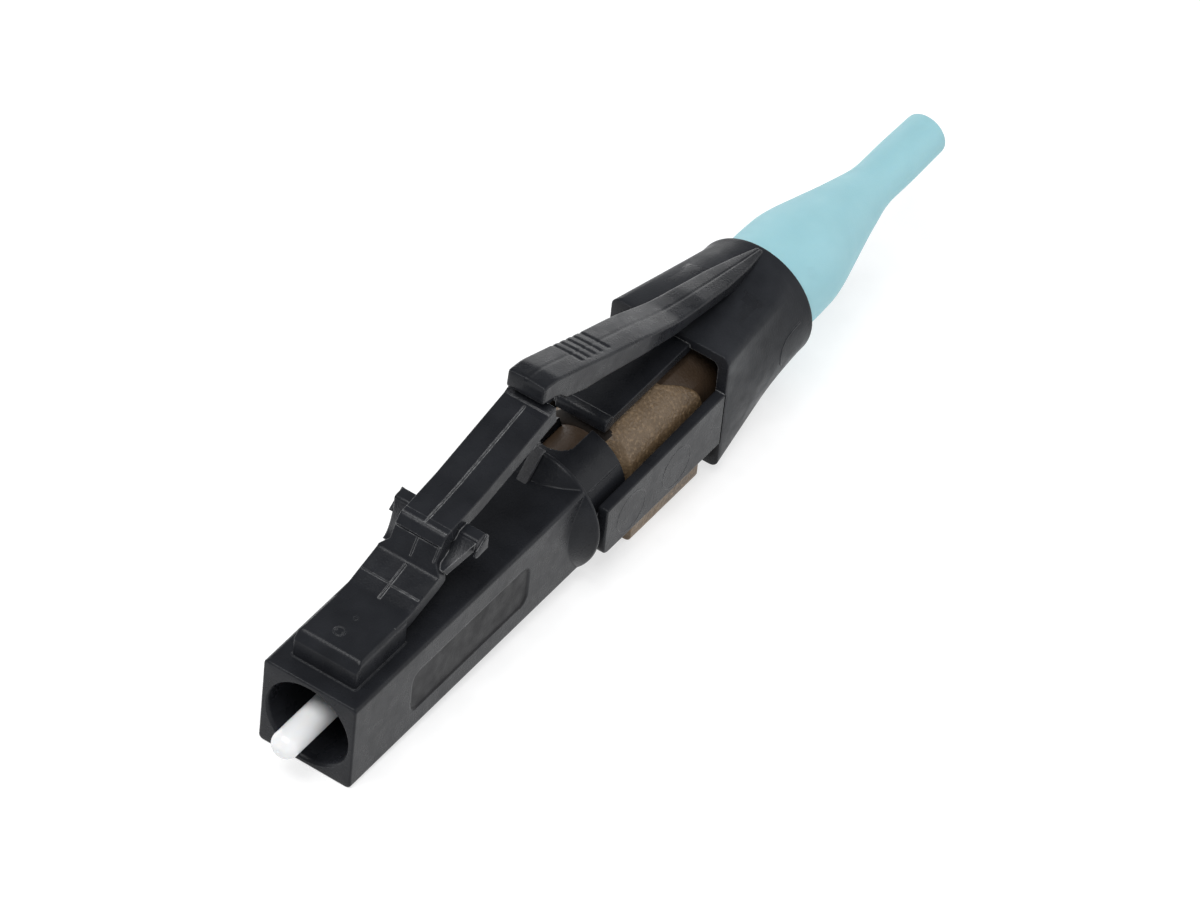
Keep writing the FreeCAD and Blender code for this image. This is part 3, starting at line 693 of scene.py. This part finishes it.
def cross_line(line, y, low, high, width, proud):
    """Thin raised line across a bar, from low to high."""
    z = np.interp(y, line[:, 0], line[:, 1])
    slope = np.interp(y + 0.1, line[:, 0], line[:, 1]) - np.interp(y - 0.1, line[:, 0], line[:, 1])
    path = [(x, y, z) for x in np.linspace(low, high, 8)]
    return bead_line(path, (0, -slope, 0.2), width, proud)


print("each ear is made of", len(catch_ear(1)), "skins")

# %% The latch, whole
arm_line = eased(LATCH_TOP[:4], 0.07, 0.07)
lines = [ridge(arm_line, 4.45, 6.3, 0.06, 0.07), ridge(tail_line, 7.3, 14.1, 0.05, 0.06),
         ridge(arm_line, 6.5, 7.1, 0.035, 0.02), ridge(arm_line, 6.62, 7.1, 0.03, 0.018, x=1.02),
         cross_line(arm_line, 5.2, 0.05, 1.42, 0.035, 0.025),
         cross_line(arm_line, 5.24, -1.42, 0.05, 0.03, 0.012),
         cross_line(tail_line, 7.38, -1.08, 1.08, 0.05, 0.035)]
strip_side = [(14.18, 6.8), (14.18, 6.98), (14.26, 7.04), (14.6, 7.19), (14.7, 7.10), (14.7, 6.8)]
end_strip = plate(round_corners(strip_side, 0.06), -1.11, 1.11, 0.04)
latch = make_piece("latch", [front_arm, tail, end_strip] + catch_ear(-1) + catch_ear(1) + lines, None,
                   black_edge_lit, ["latch_arm"])
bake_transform(latch)

# %% [markdown]
# ## The clip's bell, arms and tongue
# The clip snaps over the back of the housing. Its bell starts as a rounded square and ends as a ring
# round the boot, in one straight loft, a mix of the two. Two arms reach forward beside the cam and a
# tongue above it, and the windows between them show the tan cam.

# %% Bell and ring
BELL_FRONT = 24.9
BELL_REAR = 31.2
RING_REAR = 31.6
BELL_HALF = 2.95
RING_R = 2.9
bell_columns = square_columns(22, 9)


def bell_rows(half, low, high, radius, corner, share):
    """Rows between a rounded square and a circle: (1 - share) of one and share of the other, point by
    point, where the circle's point lies in the direction of the square's."""
    share = np.asarray(share, float)[:, None]
    x, z = squares(bell_columns, half, low, high, corner)
    far = np.hypot(x, z)
    return x * (1 - share + share * radius / far), z * (1 - share + share * radius / far)


def bell_skin():
    """Rows (y, share, inset) along the outside to the rear, then (y, share) back along the inside. The
    share runs from 0, square, to 1, round, and quarter circles of inset round both lips."""
    t = np.linspace(0, 1, 30)
    lip = np.linspace(0, math.pi / 2, 4)
    outer = [(BELL_FRONT + 0.05 * (1 - math.cos(a)), 0, 0.05 * (1 - math.sin(a))) for a in lip]
    outer += [(BELL_FRONT + 0.05 + (BELL_REAR - BELL_FRONT - 0.05) * v, v, 0) for v in t[1:]]
    outer += [(v, 1, 0) for v in (31.3, 31.4, RING_REAR - 0.08)]
    outer += [(RING_REAR - 0.08 * (1 - math.sin(a)), 1, 0.08 * (1 - math.cos(a))) for a in lip[1:]]
    inner = [(RING_REAR, 1), (RING_REAR - 0.04, 1), (BELL_REAR, 1)]
    inner += [(BELL_REAR - (BELL_REAR - BELL_FRONT) * v, 1 - v) for v in t[1:]]
    y, share, inset = np.array(outer).T
    ox, oz = bell_rows(BELL_HALF - inset, -3.1 + inset, 3.15 - inset, RING_R, 0.38, share)
    ring_in = 1 - inset[:, None] / RING_R * (share[:, None] > 0.99)
    ox, oz = ox * ring_in, oz * ring_in
    iy, ishare = np.array(inner).T
    ix, iz = bell_rows(2.45, -2.6, 2.69, 2.43, 0.35, ishare)
    x, z = np.concatenate([ox, ix]), np.concatenate([oz, iz])
    y = np.concatenate([y, iy])
    return skin(np.stack([x, np.broadcast_to(y[:, None], x.shape), z], -1), ring=True)


print("the bell is lofted over", round(BELL_REAR - BELL_FRONT, 1), "mm")

# %% Arms, tongue and the curve on the side
def clip_arm(side):
    """One arm: its side outline between the inner and the outer face, with a hook behind the collar."""
    outline = round_corners([(ARMS_FRONT, -1.68), (ARMS_FRONT, 0.92), (24.96, 1.19), (24.96, -1.68)],
                            [0.42, 0.16, 0.02, 0.02])
    hook = round_corners([(16.53, -1.2), (16.53, 0.42), (17.0, 0.42), (17.0, -1.2)], 0.08)
    marks = [round_mark((side * BELL_HALF, y, -0.45), 1.0, 0.012, 0.03, "x") for y in (18.35, 21.6)]
    arm = plate(outline, side * 2.45, side * BELL_HALF, 0.09)
    return [arm, plate(hook, side * 2.34, side * 2.6, 0.05)] + marks


def clip_tongue():
    """Flat tongue over the cam, with a thick bar across its front. The bar's top slopes forward, and
    its left end bulges a little."""
    body = round_corners([(18.95, 2.42), (18.95, 2.82), (19.3, 2.88), (25.3, 2.88), (25.3, 2.42)], 0.05)
    bar = round_corners([(18.78, 2.42), (18.78, 2.84), (18.88, 3.0), (19.2, 3.13), (19.42, 2.86),
                         (19.42, 2.42)], 0.10)
    knob = round_corners([(18.84, 2.55), (18.84, 3.0), (19.2, 3.0), (19.2, 2.55)], 0.12)
    return [plate(body, -1.4, 1.0, 0.05), plate(bar, -1.46, 1.04, 0.07), plate(knob, -1.58, -1.3, 0.07)]


def side_curve():
    """Fine curved bead where the bell turns into the ring. It follows the loft: at each angle from the
    top the surface lies at the side's distance BELL_HALF / sin(angle), mixed with the ring's radius."""
    path = eased([(30.69, 72), (30.1, 72.5), (29.55, 75), (29.25, 80), (29.15, 88), (29.2, 96),
                  (29.35, 100.5)], 0.3)
    y, angle = path[:, 0], np.radians(path[:, 1])
    share = np.clip((y - BELL_FRONT) / (BELL_REAR - BELL_FRONT), 0, 1)
    far = (1 - share) * BELL_HALF / np.sin(angle) + share * RING_R
    way = np.stack([np.sin(angle), 0 * y, np.cos(angle)], 1)
    return bead_line(way * far[:, None] + np.stack([0 * y, y, 0 * y], 1), way, 0.045, 0.03)


print("the curve on the side has", len(side_curve()[0]), "points")

# %% The clip, whole
clip_parts = [bell_skin()] + clip_arm(-1) + clip_arm(1) + clip_tongue()
clip = make_piece("clip", clip_parts + [side_curve()], "connector", black_clip, ["trigger_body"])
x, y, z = face_middles(clip).T
on_bell = (y > 24.97) & ((np.abs(x) > 1.9) | (np.abs(z) > 2.89) | (y > 29))
paint(clip, on_bell, black_bell)

# %% [markdown]
# ## The trigger lever
# The lever grows out of the ring's top and rises forward in a long curve, and its tip lies over the
# latch's tail. It bends at its root. Its top is slightly roofed with a fine crease along the middle,
# and five finger grooves run across.

# %% The lever's lines and grooves
LEVER_TOP = [(31.5, 2.86), (30.9, 3.0), (30, 3.22), (29, 3.50), (28, 3.77), (27, 4.07), (26, 4.38),
             (25, 4.61), (24, 4.88), (23, 5.27), (22, 5.68), (21, 6.07), (20, 6.43), (19, 6.79),
             (18, 7.18), (17, 7.57), (16, 7.94), (15, 8.31), (14.2, 8.42), (14.07, 8.40)]
LEVER_THICK = [(0, 0.3), (0.1, 0.7), (0.22, 0.62), (0.35, 0.62), (0.47, 0.8), (0.58, 1.0), (0.72, 1.12),
               (0.8, 1.3), (0.88, 1.25), (0.915, 0.95), (1, 0.86)]
LEVER_HALF = [(0, 0.2), (0.083, 0.46), (0.195, 0.67), (0.31, 0.76), (0.42, 0.85), (0.55, 0.93), (1, 0.92)]
LEVER_SHIFT = [(0, 0.04), (0.2, 0.08), (0.31, 0.13), (0.42, 0.08), (0.58, 0.03), (0.7, 0.01), (1, -0.06)]
GROOVES = (17.2, 17.67, 18.14, 18.61, 19.16)
GROOVE_DEEP = 0.05
lever_columns = square_columns(26, 5)


def finger_grooves(points):
    """Sinks the rounded grooves into the lever's top: each is a bell curve along the lever, only where
    the surface is near the top line, and they run out before the right edge."""
    top = np.interp(points[:, 1], *np.array(LEVER_TOP[::-1]).T)
    near = np.clip(1 - (top - points[:, 2] - 0.12) / 0.15, 0, 1)
    depth = sum(np.exp(-((points[:, 1] - y) / 0.085) ** 2) for y in GROOVES)
    across = np.clip((0.62 - points[:, 0]) / 0.08, 0, 1)
    points = points.copy()
    points[:, 2] -= GROOVE_DEEP * depth * near * across
    return points


print("grooves across the lever:", len(GROOVES))

# %% The lever
(lever_points, lever_faces), _ = hung_bar(LEVER_TOP, lever_columns, LEVER_HALF, LEVER_THICK, 0.1, ease=0.16,
                                          turn=0.45, crown=0.05, crease=0.03, end_round=0.16,
                                          shift=LEVER_SHIFT)
lever = make_piece("lever", [(finger_grooves(lever_points), lever_faces)], None, black_clip,
                   ["trigger_lever"])
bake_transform(lever)

# %% [markdown]
# ## The cam
# The tan cam is turned to clamp the fibre. It shows through the clip's windows as a smooth pad with a
# bevelled front on a core, in the notch of the barrel, and as a thin wing below. Its skin is a profile
# swept round the axis; the wing is a plate. The core is set back in shade, so its faces get painted
# shade, a darker tan, and a strip under the tongue's bar gets a near-black painted shadow.

# %% Cam
def cam_skins():
    """Turned body whose pad ends further back at the sides: with u the way round from the top, the
    pad's rear edge is a quarter of a sine, from the top window to its full length."""
    profile = [(16.83, 1.3), (16.83, 1.84), (16.87, 1.88), (18.9, 1.88), (18.92, 1.92), (19.0, 2.0),
               (19.3, 2.3), (19.38, 2.33)]
    pad = [(19.38 + v, 2.33) for v in np.linspace(0.2, 4.86, 14)]
    edge = [(24.32, 2.32), (24.38, 2.28), (24.42, 2.2), (24.42, 2.12), (24.45, 2.1)]
    rest = [(26.0, 2.1), (28.75, 2.1), (28.8, 2.05), (28.8, 1.3)]
    points, faces = turned(profile + pad + edge + rest, 160)
    angle = np.abs(np.arctan2(points[:, 0], points[:, 2]))
    rear = 22.9 + 1.52 * np.sin(np.clip((2.33 * angle - 1.0) / 1.85, 0, 1) * math.pi / 2)
    y = points[:, 1]
    share = np.interp(y, [19.4, 24.42, 24.45, 28.7], [0, 1, 1, 0])
    points[:, 1] = y + (rear - 24.43) * share
    half = [(2.15, -1.5), (2.15, -1.76), (2.45, -1.8), (2.45, -3.42)]
    soft = [0.05, 0.03, 0.03, 0.3]
    wing = round_corners(half + [(-x, z) for x, z in half[::-1]], soft + soft[::-1])
    return [(points, faces), plate(wing, 19.35, 24.25, 0.06, across="y")]


cam = make_piece("splice_cam", cam_skins(), "connector", tan_stippled, ["cam"])
x, y, z = face_middles(cam).T
# Painted shade: the core's faces, set back in the notch and behind the pad, get a darker tan.
paint(cam, (np.hypot(x, z) < 2.15) & (z > -1.45) & ((y < 18.88) | (y > 22.0)), tan_painted_shade)
# Painted shadow: the strip under the tongue's bar gets a near-black brown.
paint(cam, (y > 18.8) & (y < 19.39) & (z > 1.2) & (x < 1.04), brown_painted_shadow)

# %% [markdown]
# ## Boot and ferrule
# The rubber boot guards the fibre where it leaves: a plug in the ring, a cone with softly rounded
# shoulders, and a slim tube. The ferrule is a ground ceramic pin with a domed tip. Both are turned, and
# the boot's outer line is softened by a bell curve.

# %% Boot
PIP_Y = 32.86
PIP_ANGLE = math.radians(40.5)


def boot_skins():
    """Turned wall: a softened outer line, a rounded rear rim, the bore and the plug's front face. A
    small pin mark stands on it, turned to its angle."""
    outer = [(31.4, 2.4), (33.2, 2.42), (34.4, 2.38), (35.2, 2.24), (37.2, 1.73), (38.1, 1.5), (39.0, 1.30),
             (39.8, 1.12), (40.5, 1.04), (42.2, 1.06), (44.4, 1.02)]
    line = eased(outer, 0.12, 0.2)
    rim = [(44.5, 1.01), (44.53, 0.97), (44.53, 0.56), (44.5, 0.51), (36, 0.5), (35.4, 0.52), (35.4, 0.9)]
    front = [(29.05, 0.96), (29.0, 1.0), (29.0, 2.3), (29.08, 2.4)]
    body = turned(np.concatenate([front, line, rim]), 112)
    pip, faces = round_mark((0, PIP_Y, 2.38), 0.2, 0.02, 0.04, "z")
    lean, rise = math.cos(PIP_ANGLE), math.sin(PIP_ANGLE)
    px, py, pz = pip.T
    return [body, (np.stack([pz * lean - px * rise, py, pz * rise + px * lean], 1), faces)]


make_piece("rubber_boot", boot_skins(), "connector", aqua_rubber, ["boot"], math.radians(60))

# %% Ferrule
FERRULE_R = 0.6245
t = np.linspace(0, math.pi / 2, 12)
dome = [(-1.9 + 0.52 * (1 - math.cos(a)) ** 0.9, 0.13 + 0.4945 * math.sin(a)) for a in t]
ferrule_profile = [(-1.9, 0.07), (-1.9, 0.1)] + dome + [(y, FERRULE_R) for y in (-1.2, 2.0, 5.65)]
ferrule_profile += [(5.7, 0.6), (5.7, 0.45), (8.4, 0.45), (8.4, 0.07)]
make_piece("ceramic_ferrule", [turned(ferrule_profile)], "ferrule_set", white_ceramic, ["ferrule"],
           math.radians(50))

# %% [markdown]
# ## The spring and what else is inside
# A coil spring pushes the ferrule forward. When the ferrule is pushed in, the spring shortens. The
# other hidden pieces keep their CAD shape and only get a finish of their own.

# %% Spring
def coil(first, last, radius, wire, turns):
    """Wire round a helix: the angle grows evenly while y runs from first to last, and each row is the
    wire's own circle, square to the helix."""
    t = np.linspace(0, 1, int(turns * 36) + 1)
    angle = 2 * math.pi * turns * t
    out = np.stack([np.cos(angle), 0 * t, np.sin(angle)], 1)
    middle = out * radius + np.stack([0 * t, first + (last - first) * t, 0 * t], 1)
    ahead = np.gradient(middle, axis=0)
    ahead /= np.linalg.norm(ahead, axis=1)[:, None]
    side = np.cross(ahead, out)
    turn = np.arange(12) / 12 * 2 * math.pi
    around = out[:, None] * np.cos(turn)[:, None] + side[:, None] * np.sin(turn)[:, None]
    return skin(middle[:, None] + wire * around)


spring = make_piece("coil_spring", [coil(8.30, 11.26, 1.46, 0.14, 4.5)], None, drawn_steel, ["spring"],
                    math.radians(60))
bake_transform(spring)

# %% Finishes for the carried-over pieces
inside = {"fibre_stub": clear_glass, "ferrule_holder": grey_moulded, "spring_retainer": grey_moulded,
          "splice_upper": pale_moulded, "splice_lower": pale_moulded, "lead_in_tube": pale_moulded,
          "crimp_tube": drawn_steel}
for name, material in inside.items():
    for material_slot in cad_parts[name].material_slots:
        material_slot.material = material
print("carried over with a new finish:", sorted(inside))

# %% [markdown]
# ## Floor, light and camera
# The photograph is a product shot: a white sweep, one big soft light from above, and the floor itself
# as the light that fills the right sides. Sweeps on the left, behind and on the right give the long
# faces something to reflect. The part rests on its nose and on the cam's wing, so the floor is tilted
# until it touches both. The camera comes from measurements: the nose is 4.52 mm square, and its corners
# in the picture give the distance and the angle.

# %% Floor
NOSE_REST = Vector((0, 0.0001, -0.00226))
WING_REST = Vector((0, 0.0195, -0.00342))
floor_way = (WING_REST - NOSE_REST).normalized()
floor_up = Vector((1, 0, 0)).cross(floor_way).normalized()
floor_up = floor_up if floor_up.z > 0 else -floor_up
spot = NOSE_REST - floor_up * 0.00002
corners = [(-1.2, -1.2), (1.2, -1.2), (1.2, 1.2), (-1.2, 1.2)]
corners = [tuple(spot + Vector((a, 0, 0)) + floor_way * b) for a, b in corners]
floor_mesh = bpy.data.meshes.new("floor")
floor_mesh.from_pydata(corners, [], [(0, 1, 2, 3)])
floor = bpy.data.objects.new("floor", floor_mesh)
scene.collection.objects.link(floor)
pale_floor = finish("pale_floor", (0.44, 0.44, 0.44), (0.46, 0.46, 0.46), (0.8, 0.9), grain=2000,
                    grain_depth=0.002, wave_depth=0.0, spec=0.1, glow=1.38)
floor_mesh.materials.append(pale_floor)
print("the floor leans by", round(math.degrees(floor_up.angle(Vector((0, 0, 1)))), 2), "degrees")

# %% Lights
def soft_light(name, place, size, power, target=(0, 20, 20)):
    """Soft box of a size, looking from its place at a target, all in millimetres."""
    lamp = bpy.data.lights.new(name, "AREA")
    lamp.shape = "RECTANGLE"
    lamp.size, lamp.size_y = size[0] * MM, size[1] * MM
    lamp.energy = power
    thing = bpy.data.objects.new(name, lamp)
    thing.location = Vector(place) * MM
    thing.rotation_euler = (Vector(target) - Vector(place)).to_track_quat("-Z", "Y").to_euler()
    scene.collection.objects.link(thing)


soft_light("overhead_box", (-20, -165, 420), (400, 220), 2.3, (-20, -165, 0))
soft_light("left_sweep", (-480, 200, 60), (700, 130), 0.55)
soft_light("back_sweep", (-160, 480, 50), (900, 130), 0.74)
soft_light("right_sweep", (440, 250, 200), (600, 400), 1.1)
world = bpy.data.worlds.new("studio")
world.use_nodes = True
sky = world.node_tree.nodes["Background"]
sky.inputs["Color"].default_value = (0.95, 0.97, 1.0, 1)
sky.inputs["Strength"].default_value = 0.3
scene.world = world
scene.view_settings.view_transform = "Standard"
print("lights:", [lamp.name for lamp in bpy.data.lights])

# %% Camera
EYE = Vector((131.0, -201.1, 255.3)) * MM
FORWARD = Vector((-0.3612, 0.6105, -0.7049)).normalized()
UP = Vector((-0.4513, 0.5471, 0.705))
right = FORWARD.cross(UP).normalized()
up = right.cross(FORWARD)
lens = bpy.data.cameras.new("camera")
lens.sensor_width = 36
lens.sensor_fit = "HORIZONTAL"
lens.lens = 265.4
lens.clip_start = 0.01
camera = bpy.data.objects.new("camera", lens)
turn = Matrix((right, up, -FORWARD)).transposed().to_4x4()
camera.matrix_world = Matrix.Translation(EYE) @ turn
scene.collection.objects.link(camera)
scene.camera = camera
print("camera distance, mm:", round(EYE.length / MM))
